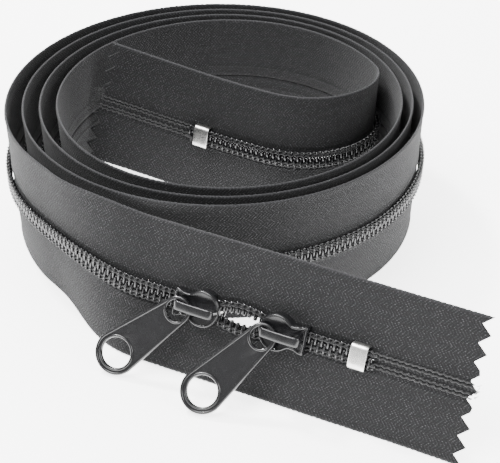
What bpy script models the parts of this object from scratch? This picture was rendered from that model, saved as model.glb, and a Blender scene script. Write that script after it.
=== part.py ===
"""Nylon coil zipper strip with two sliders, wound into a loose roll, with its outer end laid out straight.

Run with: blender --background --python part.py
Lengths below are in millimetres and are turned into metres when a mesh is made.
"""
import math

import bmesh
import bpy
from mathutils import Matrix, Vector

MM = 0.001

# strip, across its width: v runs up the tape from the chain's middle, n runs out of its toothed face
TAPE_HALF_WIDTH = 16.0
TAPE_HALF_THICKNESS = 0.25
TAPE_INNER_EDGE = 0.15
COIL_INNER_EDGE, COIL_OUTER_EDGE = 0.05, 2.25
COIL_BOTTOM, COIL_TOP = 0.42, 1.75
BORE = (0.7, 1.65, 0.7, 1.45)
CORD = (0.85, 1.5, 0.85, 1.3)
THREAD_OFFSETS = {"inner": 1.05, "outer": 1.85}
THREAD_WIDTH, THREAD_BOTTOM, THREAD_TOP = 0.3, 1.83, 2.0

# roll, seen from above: the strip winds outwards, counter-clockwise
ROLL_RADIUS, ROLL_PITCH, ROLL_DRIFT = 38.35, 3.3, 0.55
ROLL_FIRST, ROLL_LAST = 50.0, 1325.0
ROLL_STEP, TWIST_FROM, TWIST_STEP = 15.0, 1295.0, 5.0
ROLL_LEAN = -3.0

# straight outer run, which leans back against the roll
RUN_Y, RUN_START, RUN_END = -55.25, 11.35, 89.35
RUN_LEAN = 24.0
TWIST_SPAN = 140.0
LEAVE_HANDLE = 13.0

# inner run, which crosses the hollow and rises towards its free end
INNER_START = (-35.0, 1.0)
INNER_CURVE = (INNER_START, (-24.5, 4.6), (-11.0, 6.3), (8.3, 5.6))
INNER_LEAN, INNER_RISE_FROM, INNER_RISE = 10.0, 5.0, 0.0034

# sliders: distance along the straight run of each slider's middle, and which way its narrow end points
SLIDERS = {"left": (26.15, -1.0), "right": (46.55, 1.0)}
SLIDER_HALF_LENGTH = 5.5
OPEN_HALF_GAP = 1.5
PLATE_BOTTOM, PLATE_TOP = 2.1, 3.05
BACK_PLATE = (-1.35, -0.5)
FLANGE_BOTTOM = 0.5
BRIDGE_UNDER, BRIDGE_TOP, BRIDGE_HALF_SPAN, BRIDGE_HALF_WIDTH = 5.3, 5.95, 4.3, 0.6
SPRING = (4.78, 4.96)
PAWL = (2.6, 3.05)
PULL_MIDDLE, PULL_HALF_THICKNESS = 3.85, 0.5
EYE_CENTRE = (3.67, 1.5)
EYE_RADIUS, EYE_HOLE = 3.2, 2.3
PULL_DIRECTION = {"left": 48.0, "right": 57.0}
RING_DISTANCE, RING_RADIUS, RING_HOLE = 17.0, 4.9, 3.35
PULL_AXIS_BACK = 2.6
PULL_REST_TILT = {"left": 8.0, "right": 15.0}

STOP_AT = {"front": 63.65, "inner": -7.0}
STOP_LENGTH, STOP_HALF_WIDTH, STOP_WALL = 3.8, 2.85, 0.35
END_GAP = 0.5


# ---------------------------------------------------------------- the strip's path

def smoothstep(t):
    t = max(0.0, min(1.0, t))
    return t * t * (3.0 - 2.0 * t)


def bezier(points, t):
    a, b, c, d = (Vector(p) for p in points)
    u = 1.0 - t
    place = a * u ** 3 + b * (3 * u * u * t) + c * (3 * u * t * t) + d * t ** 3
    along = (b - a) * (3 * u * u) + (c - b) * (6 * u * t) + (d - c) * (3 * t * t)
    return place, along.normalized()


def circle_point(angle):
    """A point of the winding and the way along it: each turn in is set a little back and to the right."""
    radius = ROLL_RADIUS + ROLL_PITCH * (angle - ROLL_FIRST) / 360.0
    turn = math.radians(angle)
    middle = Vector((1.0, 1.0)) * ROLL_DRIFT * (ROLL_LAST - angle) / 360.0
    return middle + Vector((math.cos(turn), math.sin(turn))) * radius, Vector((-math.sin(turn), math.cos(turn)))


def make_frame(place, along, lean, rise=0.0, slope=0.0):
    """Frame of one station: its place, then the directions along, up the tape, and out of the toothed face."""
    lean = math.radians(lean)
    across = Vector((along.y, -along.x, 0.0))
    along = Vector((along.x, along.y, slope)).normalized()
    flat_up = across.cross(along)
    up = flat_up * math.cos(lean) - across * math.sin(lean)
    lift = TAPE_HALF_WIDTH * math.cos(lean) + TAPE_HALF_THICKNESS * abs(math.sin(lean))
    return Vector((place.x, place.y, lift + rise)), along, up, along.cross(up)


def opening(x):
    """Half the gap between the rows: open between the sliders, closed from each slider's middle outwards."""
    left, right = SLIDERS["left"][0], SLIDERS["right"][0]
    span = (right - left) / 2.0
    if left < x < right:
        return OPEN_HALF_GAP * smoothstep(min(x - left, right - x) / span)
    return END_GAP * smoothstep((x - STOP_AT["front"] - 3.0) / 12.0)


def stations():
    """Every station of the strip from the inner end to the outer end: its frame,
    and half the gap between the rows."""
    found = []
    join, join_along = circle_point(ROLL_FIRST)
    first = INNER_CURVE
    second = (INNER_CURVE[3], (30.0, 4.7), tuple(join - join_along * 9.0), tuple(join))
    for i in range(6):
        place, along = bezier(first, i / 6.0)
        reach = max(0.0, INNER_RISE_FROM - place.x)
        gap = END_GAP * smoothstep((STOP_AT["inner"] - 3.0 - place.x) / 14.0)
        rise, slope = INNER_RISE * reach ** 2, -2.0 * INNER_RISE * reach
        found.append((make_frame(place, along, INNER_LEAN, rise, slope), gap))
    for i in range(8):
        place, along = bezier(second, i / 8.0)
        found.append((make_frame(place, along, INNER_LEAN + (ROLL_LEAN - INNER_LEAN) * smoothstep(i / 7.0)), 0.0))
    angle = ROLL_FIRST
    while angle <= ROLL_LAST:
        place, along = circle_point(angle)
        lean = ROLL_LEAN + (RUN_LEAN - ROLL_LEAN) * smoothstep((angle - TWIST_FROM) / TWIST_SPAN)
        found.append((make_frame(place, along, lean), 0.0))
        angle += ROLL_STEP if angle < TWIST_FROM else TWIST_STEP
    leave, leave_along = circle_point(ROLL_LAST)
    out = (tuple(leave), tuple(leave + leave_along * LEAVE_HANDLE), (RUN_START - 11.0, RUN_Y), (RUN_START, RUN_Y))
    reached = smoothstep((ROLL_LAST - TWIST_FROM) / TWIST_SPAN)
    for i in range(1, 8):
        place, along = bezier(out, i / 8.0)
        share = reached + (1.0 - reached) * smoothstep((i / 8.0 - 0.15) / 0.85)
        lean = ROLL_LEAN + (RUN_LEAN - ROLL_LEAN) * share
        found.append((make_frame(place, along, lean), 0.0))
    left, right = SLIDERS["left"][0], SLIDERS["right"][0]
    opened = [left + (right - left) * k / 8.0 for k in range(9)]
    for x in [RUN_START] + opened + [STOP_AT["front"] + 3.0, 75.0, 82.0, RUN_END]:
        found.append((make_frame(Vector((x, RUN_Y)), Vector((1.0, 0.0)), RUN_LEAN), opening(x)))
    return found


STATIONS = stations()


def run_frame(x):
    """Matrix of the straight run at x: its columns are along, up the tape, and out of the toothed face."""
    place, along, up, out = make_frame(Vector((x, RUN_Y)), Vector((1.0, 0.0)), RUN_LEAN)
    return Matrix.Translation(place) @ Matrix((along, up, out)).transposed().to_4x4()


def inner_frame(x):
    """The same on the inner run, at the place whose x is given, found by halving."""
    points = INNER_CURVE
    low, high = 0.0, 1.0
    for _ in range(40):
        middle = (low + high) / 2.0
        low, high = (middle, high) if bezier(points, middle)[0].x < x else (low, middle)
    place, along = bezier(points, low)
    reach = max(0.0, INNER_RISE_FROM - place.x)
    frame = make_frame(place, along, INNER_LEAN, INNER_RISE * reach ** 2, -2.0 * INNER_RISE * reach)
    return Matrix.Translation(frame[0]) @ Matrix(frame[1:]).transposed().to_4x4()


# ---------------------------------------------------------------- helpers

def clear_scene():
    for item in list(bpy.data.objects):
        bpy.data.objects.remove(item, do_unlink=True)


def make_collection(name):
    group = bpy.data.collections.new(name)
    bpy.context.scene.collection.children.link(group)
    return group


clear_scene()
ZIPPER = make_collection("zipper")
CUTTERS = make_collection("cutters")


def make_material(name, colour, roughness, metallic=0.0):
    material = bpy.data.materials.new(name)
    material.use_nodes = True
    shader = material.node_tree.nodes["Principled BSDF"]
    shader.inputs["Base Color"].default_value = (*colour, 1.0)
    shader.inputs["Roughness"].default_value = roughness
    shader.inputs["Metallic"].default_value = metallic
    return material


def add_object(name, mesh_data, colour, roughness, metallic=0.0, parent=None, group=ZIPPER):
    """Turns a bmesh in millimetres into a named object in metres, with faces outward."""
    bmesh.ops.scale(mesh_data, vec=(MM, MM, MM), verts=mesh_data.verts)
    bmesh.ops.recalc_face_normals(mesh_data, faces=mesh_data.faces)
    mesh = bpy.data.meshes.new(name)
    mesh_data.to_mesh(mesh)
    mesh_data.free()
    item = bpy.data.objects.new(name, mesh)
    group.objects.link(item)
    item.data.materials.append(make_material(name, colour, roughness, metallic))
    if parent is not None:
        item.parent = parent
    return item


def add_axis(name, frame, parent=None):
    """An empty on a joint: frame is in millimetres, relative to the parent."""
    empty = bpy.data.objects.new(name, None)
    ZIPPER.objects.link(empty)
    empty.empty_display_size = 0.005
    moved = frame.copy()
    moved.translation = frame.translation * MM
    empty.matrix_basis = moved
    empty.parent = parent
    return empty


def boolean(item, other, operation):
    """Applies an exact Boolean and removes the second object."""
    bpy.context.view_layer.update()
    change = item.modifiers.new("join", "BOOLEAN")
    change.operation = operation
    change.solver = "EXACT"
    change.object = other
    bpy.context.view_layer.objects.active = item
    item.select_set(True)
    bpy.ops.object.modifier_apply(modifier=change.name)
    bpy.data.objects.remove(other, do_unlink=True)


def add_cutter(name, mesh_data, parent=None):
    item = add_object(name, mesh_data, (0.8, 0.2, 0.2), 0.5, parent=parent, group=CUTTERS)
    item.hide_render = True
    item.display_type = "WIRE"
    return item


def block(low, high):
    """A box between two corners, as a bmesh."""
    mesh_data = bmesh.new()
    size = Vector(high) - Vector(low)
    middle = (Vector(high) + Vector(low)) / 2.0
    bmesh.ops.create_cube(mesh_data, size=1.0, matrix=Matrix.Translation(middle) @ Matrix.Diagonal((*size, 1.0)))
    return mesh_data


def prism(outline, low, high):
    """An outline in the plate's plane, pushed out from low to high."""
    mesh_data = bmesh.new()
    face = mesh_data.faces.new([mesh_data.verts.new((x, y, low)) for x, y in outline])
    pushed = bmesh.ops.extrude_face_region(mesh_data, geom=[face])
    top = [part for part in pushed["geom"] if isinstance(part, bmesh.types.BMVert)]
    bmesh.ops.translate(mesh_data, vec=(0.0, 0.0, high - low), verts=top)
    return mesh_data


# ---------------------------------------------------------------- ribbons that follow the strip

def section_loft(section_of, first=0, last=None, bore_of=None):
    """Joins one ring of corners per station into a closed tube; a bore, if any, stays open at both ends."""
    chosen = STATIONS[first:last]
    mesh_data = bmesh.new()
    rings, bores = [], []
    for (place, _, up, out), gap in chosen:
        rings.append([mesh_data.verts.new(place + up * v + out * n) for v, n in section_of(gap)])
        if bore_of:
            bores.append([mesh_data.verts.new(place + up * v + out * n) for v, n in bore_of(gap)])
    for group in (rings, bores):
        for here, there in zip(group, group[1:]):
            for k in range(len(here)):
                m = (k + 1) % len(here)
                mesh_data.faces.new((here[k], here[m], there[m], there[k]))
    for end in (0, -1):
        if not bore_of:
            mesh_data.faces.new(rings[end])
            continue
        for k in range(4):
            m = (k + 1) % 4
            mesh_data.faces.new((rings[end][k], rings[end][m], bores[end][m], bores[end][k]))
    return mesh_data


def corners(side, inner, outer, low, high):
    """Corners of a rectangle on one side of the chain, moved out with the gap."""
    return lambda gap: [(side * (inner + gap), low), (side * (outer + gap), low),
                        (side * (outer + gap), high), (side * (inner + gap), high)]


def tape_section(side):
    """A flat band whose chain edge moves with the gap, with a column of corners beside the coil."""
    half, edge = TAPE_HALF_THICKNESS, TAPE_INNER_EDGE

    def section(gap):
        places = (edge + gap, COIL_OUTER_EDGE + 0.4 + gap, TAPE_HALF_WIDTH)
        return [(side * v, -half) for v in places] + [(side * v, half) for v in reversed(places)]
    return section


def thread_section(side, offset):
    """A three-cornered strand that lies on the coil."""
    return lambda gap: [(side * (offset + gap) - THREAD_WIDTH / 2, THREAD_BOTTOM),
                        (side * (offset + gap) + THREAD_WIDTH / 2, THREAD_BOTTOM),
                        (side * (offset + gap), THREAD_TOP)]


def add_strip_half(name, side):
    black, grey = (0.016, 0.016, 0.018), (0.03, 0.03, 0.033)
    # the coil, its cord and its threads stop a little past each end stop
    first, last = 2, len(STATIONS) - 3
    add_object(f"{name}_tape", section_loft(tape_section(side)), black, 0.85)
    coil = corners(side, COIL_INNER_EDGE, COIL_OUTER_EDGE, COIL_BOTTOM, COIL_TOP)
    add_object(f"{name}_coil", section_loft(coil, first, last, corners(side, *BORE)), grey, 0.35)
    add_object(f"{name}_core_cord", section_loft(corners(side, *CORD), first, last), black, 0.8)
    for row, offset in THREAD_OFFSETS.items():
        add_object(f"{name}_{row}_thread", section_loft(thread_section(side, offset), first, last), grey, 0.6)


# ---------------------------------------------------------------- stops

def add_stop(name, frame):
    """A crimped channel over both rows: a top and two legs that end just above the tape."""
    half, wide, wall = STOP_LENGTH / 2.0, STOP_HALF_WIDTH, STOP_WALL
    top = THREAD_TOP + 0.1
    low = TAPE_HALF_THICKNESS + 0.1
    outline = [(-wide, low), (-wide + wall, low), (-wide + wall, top), (wide - wall, top), (wide - wall, low),
               (wide, low), (wide, top + wall * 0.6), (wide - 0.3, top + wall), (0.3 - wide, top + wall),
               (-wide, top + wall * 0.6)]
    turned = frame @ Matrix(((0, 0, 1, 0), (1, 0, 0, 0), (0, 1, 0, 0), (0, 0, 0, 1)))
    mesh_data = prism(outline, -half, half)
    bmesh.ops.transform(mesh_data, matrix=turned, verts=mesh_data.verts)
    add_object(name, mesh_data, (0.78, 0.77, 0.74), 0.25, 1.0)


# ---------------------------------------------------------------- sliders

def plate_outline(shrink=0.0):
    """Half-widths along the slider: a round mouth, a waist, and a flared narrow end."""
    shape = [(-5.5, 1.3), (-5.2, 2.3), (-4.6, 3.1), (-3.7, 3.75), (-2.6, 4.1), (-1.5, 4.15), (-0.5, 3.95), (0.5, 3.45),
             (1.5, 3.0), (2.6, 2.8), (3.9, 2.82), (4.9, 3.05), (5.5, 3.0)]
    upper = [(a - math.copysign(shrink, a) if abs(a) > 5.0 else a, half - shrink) for a, half in shape]
    return upper + [(a, -half) for a, half in reversed(upper)]


def channel_outline():
    """The way through the slider: wide enough for both rows at the mouth, snug round the chain at the waist."""
    upper = [(-6.3, 3.4), (-2.6, 3.6), (-1.5, 3.7), (-0.5, 3.5), (0.5, 3.0), (1.5, 2.58), (2.6, 2.38), (3.9, 2.4),
             (6.3, 2.6)]
    return upper + [(a, -half) for a, half in reversed(upper)]


def add_slider_body(name, parent):
    """Top plate with a channel beneath, flanges, divider post and back plate, as one casting."""
    colour = (0.012, 0.012, 0.013)
    body = add_object(name, prism(plate_outline(), FLANGE_BOTTOM, PLATE_TOP), colour, 0.22, 0.6, parent)
    channel = add_cutter("channel", prism(channel_outline(), 0.0, PLATE_BOTTOM), parent)
    boolean(body, channel, "DIFFERENCE")
    recess = add_cutter("recess", prism(plate_outline(0.8), PLATE_TOP - 0.25, PLATE_TOP + 1.0), parent)
    boolean(body, recess, "DIFFERENCE")
    wedge = [(-5.2, 0.3), (-4.7, 0.62), (-4.0, 0.5), (-3.0, 0.12), (-3.0, -0.12), (-4.0, -0.5), (-4.7, -0.62),
             (-5.2, -0.3)]
    post = add_cutter("post", prism(wedge, BACK_PLATE[1] - 0.3, PLATE_BOTTOM + 0.3), parent)
    boolean(body, post, "UNION")
    back = add_cutter("back", prism(plate_outline(0.15), *BACK_PLATE), parent)
    boolean(body, back, "UNION")
    pawl_hole = add_cutter("pawl_hole", block((PAWL[0] - 0.25, -0.5, PLATE_BOTTOM - 0.4), (PAWL[1] + 0.25, 0.5, PLATE_TOP + 0.4)), parent)
    boolean(body, pawl_hole, "DIFFERENCE")
    return body


def add_bridge(name, parent):
    """A strap over the plate's middle, on a leg at each end, under which the pull and the spring pass."""
    span, half, foot = BRIDGE_HALF_SPAN, BRIDGE_HALF_WIDTH, PLATE_TOP - 0.2
    rise = BRIDGE_TOP - BRIDGE_UNDER
    outline = [(-span, foot), (-span + rise, foot), (-span + rise, BRIDGE_UNDER - 0.15),
               (-span + rise + 0.15, BRIDGE_UNDER), (span - rise - 0.15, BRIDGE_UNDER),
               (span - rise, BRIDGE_UNDER - 0.15), (span - rise, foot), (span, foot), (span, BRIDGE_TOP - 0.5),
               (span - 0.5, BRIDGE_TOP), (0.5 - span, BRIDGE_TOP), (-span, BRIDGE_TOP - 0.5)]
    mesh_data = prism(outline, -half, half)
    turned = Matrix(((1, 0, 0, 0), (0, 0, -1, 0), (0, 1, 0, 0), (0, 0, 0, 1)))
    bmesh.ops.transform(mesh_data, matrix=turned, verts=mesh_data.verts)
    add_object(name, mesh_data, (0.014, 0.014, 0.015), 0.2, 0.6, parent)


def add_lock_spring(name, parent):
    """A flat spring under the bridge, with a pawl that reaches down through the top plate."""
    low, high = SPRING
    near, far = PAWL
    tip = COIL_TOP + 0.35
    outline = [(-3.4, low), (near, low), (near, tip), (far, tip), (far, high), (-3.4, high)]
    mesh_data = prism(outline, -0.32, 0.32)
    turned = Matrix(((1, 0, 0, 0), (0, 0, -1, 0), (0, 1, 0, 0), (0, 0, 0, 1)))
    bmesh.ops.transform(mesh_data, matrix=turned, verts=mesh_data.verts)
    add_object(name, mesh_data, (0.5, 0.5, 0.5), 0.3, 1.0, parent)


def arc(centre, radius, start, stop, steps):
    return [(centre + radius * math.cos(math.radians(start + (stop - start) * k / steps)),
             radius * math.sin(math.radians(start + (stop - start) * k / steps))) for k in range(steps + 1)]


def add_pull(name, parent):
    """A tapered tab with an eye and a ring hole, drawn with its hinge axis across the origin."""
    eye = PULL_AXIS_BACK
    ring = eye + RING_DISTANCE
    outline = arc(eye, EYE_RADIUS, 80.0, 280.0, 20) + arc(ring, RING_RADIUS, -98.0, 98.0, 20)
    half = PULL_HALF_THICKNESS
    pull = add_object(name, prism(outline, -half, half), (0.014, 0.014, 0.015), 0.3, 0.5, parent)
    for hole, centre, radius in (("eye_hole", eye, EYE_HOLE), ("ring_hole", ring, RING_HOLE)):
        mesh_data = bmesh.new()
        place = Matrix.Translation((centre, 0.0, 0.0))
        bmesh.ops.create_cone(mesh_data, cap_ends=True, segments=28, radius1=radius, radius2=radius, depth=4.0,
                              matrix=place)
        boolean(pull, add_cutter(hole, mesh_data, parent), "DIFFERENCE")
    web = [(eye + EYE_RADIUS + 0.3, -2.1), (ring - RING_RADIUS - 0.2, -2.9), (ring - RING_RADIUS - 0.2, 2.9),
           (eye + EYE_RADIUS + 0.3, 2.1)]
    for low, high in ((half - 0.2, 2.0), (-2.0, 0.2 - half)):
        boolean(pull, add_cutter("web", prism(web, low, high), parent), "DIFFERENCE")


def add_slider(side, place, facing):
    """One slider: its frame has the narrow end along +x and the outside of the chain along +z."""
    turn = Matrix.Rotation(0.0 if facing > 0 else math.pi, 4, "Z")
    slide = add_axis(f"{side}_slide_axis", run_frame(place) @ turn)
    add_slider_body(f"{side}_slider_body", slide)
    add_bridge(f"{side}_slider_bridge", slide)
    add_lock_spring(f"{side}_lock_spring", slide)
    # the eye goes round the leg on the side that the pull hangs to
    sign = 1.0 if facing < 0 else -1.0
    direction = math.radians(PULL_DIRECTION[side] + (0.0 if sign > 0 else 180.0))
    heading = Vector((math.cos(direction), math.sin(direction), 0.0))
    eye = Vector((sign * EYE_CENTRE[0], sign * EYE_CENTRE[1], PULL_MIDDLE))
    swing = Matrix.Translation(eye - heading * PULL_AXIS_BACK) @ Matrix.Rotation(direction, 4, "Z")
    tilt = Matrix.Rotation(-math.radians(PULL_REST_TILT[side]), 4, "Y")
    add_pull(f"{side}_pull", add_axis(f"{side}_pull_axis", swing @ tilt, slide))


# ---------------------------------------------------------------- build

def main():
    add_strip_half("upper", 1.0)
    add_strip_half("lower", -1.0)
    add_stop("front_stop", run_frame(STOP_AT["front"]))
    add_stop("inner_stop", inner_frame(STOP_AT["inner"]))
    for side, (place, facing) in SLIDERS.items():
        add_slider(side, place, facing)
    # centre the whole object over the origin, standing on the ground
    bpy.context.view_layer.update()
    solids = [item for item in ZIPPER.objects if item.type == "MESH"]
    points = [item.matrix_world @ vertex.co for item in solids for vertex in item.data.vertices]
    low = Vector([min(p[k] for p in points) for k in range(3)])
    high = Vector([max(p[k] for p in points) for k in range(3)])
    move = Matrix.Translation((-(low.x + high.x) / 2.0, -(low.y + high.y) / 2.0, -low.z))
    for item in ZIPPER.objects:
        if item.parent is None:
            item.matrix_basis = move @ item.matrix_basis
    bpy.context.view_layer.update()
    print("moved by", tuple(round(value, 6) for value in move.translation), "size", tuple(high - low))
    for item in ZIPPER.objects:
        if item.type == "EMPTY":
            matrix = item.matrix_world
            print(item.name, "at", tuple(round(value, 6) for value in matrix.translation),
                  "x", tuple(round(value, 5) for value in matrix.col[0][:3]),
                  "y", tuple(round(value, 5) for value in matrix.col[1][:3]),
                  "z", tuple(round(value, 5) for value in matrix.col[2][:3]))


main()
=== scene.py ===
"""Looks of a wound nylon coil zipper: woven tapes, looped coils, stitches, stops, sliders and pulls."""
import math

import bpy
import numpy as np
from bpy.props import FloatProperty, FloatVectorProperty, PointerProperty
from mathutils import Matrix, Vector


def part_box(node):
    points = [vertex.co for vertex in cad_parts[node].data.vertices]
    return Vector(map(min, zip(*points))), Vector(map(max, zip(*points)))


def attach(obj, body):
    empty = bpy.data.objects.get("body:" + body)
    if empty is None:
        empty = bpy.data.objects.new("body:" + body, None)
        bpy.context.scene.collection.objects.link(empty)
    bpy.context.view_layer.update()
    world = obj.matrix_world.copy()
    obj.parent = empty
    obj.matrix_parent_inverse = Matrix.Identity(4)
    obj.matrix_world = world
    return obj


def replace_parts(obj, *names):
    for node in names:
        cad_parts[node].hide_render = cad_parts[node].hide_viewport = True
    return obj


bl_info = {
    "name": "Coil Zipper",
    "version": (1, 0, 0),
    "blender": (4, 5, 0),
    "location": "View3D > Sidebar > Zipper",
    "description": "Builds a wound coil zipper with two sliders over its packed frame",
    "category": "Add Mesh",
}

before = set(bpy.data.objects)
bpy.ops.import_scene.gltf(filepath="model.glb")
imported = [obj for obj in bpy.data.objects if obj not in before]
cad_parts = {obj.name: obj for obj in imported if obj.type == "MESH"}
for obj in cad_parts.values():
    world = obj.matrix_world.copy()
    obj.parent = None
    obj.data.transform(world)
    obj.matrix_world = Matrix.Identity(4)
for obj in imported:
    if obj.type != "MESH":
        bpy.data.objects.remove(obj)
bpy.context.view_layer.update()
MM = 0.001

# the strip's lay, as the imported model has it: lengths in millimetres, angles in degrees
HALF_WIDTH, HALF_THICK = 16.0, 0.25
ROLL_RADIUS, ROLL_PITCH, ROLL_DRIFT = 38.35, 3.3, 0.55
ROLL_FIRST, ROLL_LAST, ROLL_LEAN = 50.0, 1325.0, -3.0
RUN_Y, RUN_START, RUN_END, RUN_LEAN = -55.25, 11.35, 89.35, 24.0
TWIST_FROM, TWIST_SPAN = 1295.0, 140.0
LEAVE_HANDLE, ARRIVE_HANDLE = 13.0, 11.0
INNER_LEAN, INNER_RISE_FROM, INNER_RISE = 10.0, 5.0, 0.0034
INNER_CURVE = ((-35.0, 1.0), (-24.5, 4.6), (-11.0, 6.3), (8.3, 5.6))
JOIN_HANDLES = ((30.0, 4.7), 9.0)
SLIDER_AT = {"left": (26.15, -1.0), "right": (46.55, 1.0)}
OPEN_HALF_GAP, END_GAP = 1.5, 0.02
STOP_AT = {"front_stop": 63.65, "inner_stop": -7.0}
PULL_POSE = {"left": (48.0, 8.0), "right": (57.0, 15.0)}
EYE, PULL_MIDDLE, PULL_BACK = (3.67, 1.5), 3.85, 2.6
EYE_RADIUS, EYE_HOLE = 3.2, 2.3
RING_AWAY, RING_RADIUS, RING_HOLE = 17.0, 4.9, 3.35
COIL_PITCH, FILAMENT = 1.45, 0.26
STITCH_OFFSETS = {"inner": 1.05, "outer": 1.85}
PLATE_TOP, PLATE_UNDER, FLANGE_LOW = 3.05, 2.1, 0.5

# the stage: where the camera looks, the table's glow, the sky, and lamps as
# (name, metres to the right, metres away, height, size, watts)
VIEW_AIM = (22.95, -26.95, HALF_WIDTH)
TABLE_GLOW, SKY = 3.5, 0.75
LAMPS = (
    ("key", -0.35, -0.15, 0.75, 0.5, 12.0),
    ("fill", 0.6, -0.45, 0.5, 0.5, 7.5),
    ("rim", 0.05, 0.75, 0.55, 0.6, 10.0),
    ("glint", -0.3, 0.35, 0.6, 0.09, 9.0),
)
LAMP_AIM = Vector((0.0, 0.0, 0.01))

# where the lay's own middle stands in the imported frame
LEAN_SIN, LEAN_COS = math.sin(math.radians(RUN_LEAN)), math.cos(math.radians(RUN_LEAN))
SHIFT = np.array([
    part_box("upper_tape")[1][0] / MM - RUN_END,
    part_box("lower_tape")[0][1] / MM - (RUN_Y - HALF_WIDTH * LEAN_SIN - HALF_THICK * LEAN_COS),
    0.0,
])


# ---------------------------------------------------------------- the strip's path, as arrays

def smoothstep(t):
    """Eases from 0 to 1 with no slope at either end."""
    t = np.clip(t, 0.0, 1.0)
    return t * t * (3.0 - 2.0 * t)


def bezier(points, t):
    """Cubic Bezier: each control point weighted by its Bernstein polynomial of t."""
    a, b, c, d = (np.asarray(p, float) for p in points)
    t = np.asarray(t, float)[:, None]
    u = 1.0 - t
    return a * u ** 3 + b * (3 * u * u * t) + c * (3 * u * t * t) + d * t ** 3


def on_circle(angle):
    """Point of the winding: its radius grows evenly with its angle."""
    angle = np.asarray(angle, float)
    radius = ROLL_RADIUS + ROLL_PITCH * (angle - ROLL_FIRST) / 360.0
    turn = np.radians(angle)
    middle = ROLL_DRIFT * (ROLL_LAST - angle) / 360.0
    return np.stack([middle + radius * np.cos(turn), middle + radius * np.sin(turn)], -1)


def travel_way(angle):
    """Direction of travel round the winding at an angle."""
    turn = math.radians(angle)
    return np.array([-math.sin(turn), math.cos(turn)])


def spread(x):
    """Half the gap between the rows along the straight run."""
    left, right = SLIDER_AT["left"][0], SLIDER_AT["right"][0]
    between = OPEN_HALF_GAP * smoothstep(np.minimum(x - left, right - x) / ((right - left) / 2.0))
    end = END_GAP * smoothstep((x - STOP_AT["front_stop"] - 3.0) / 12.0)
    return np.where((x > left) & (x < right), between, end)


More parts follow.
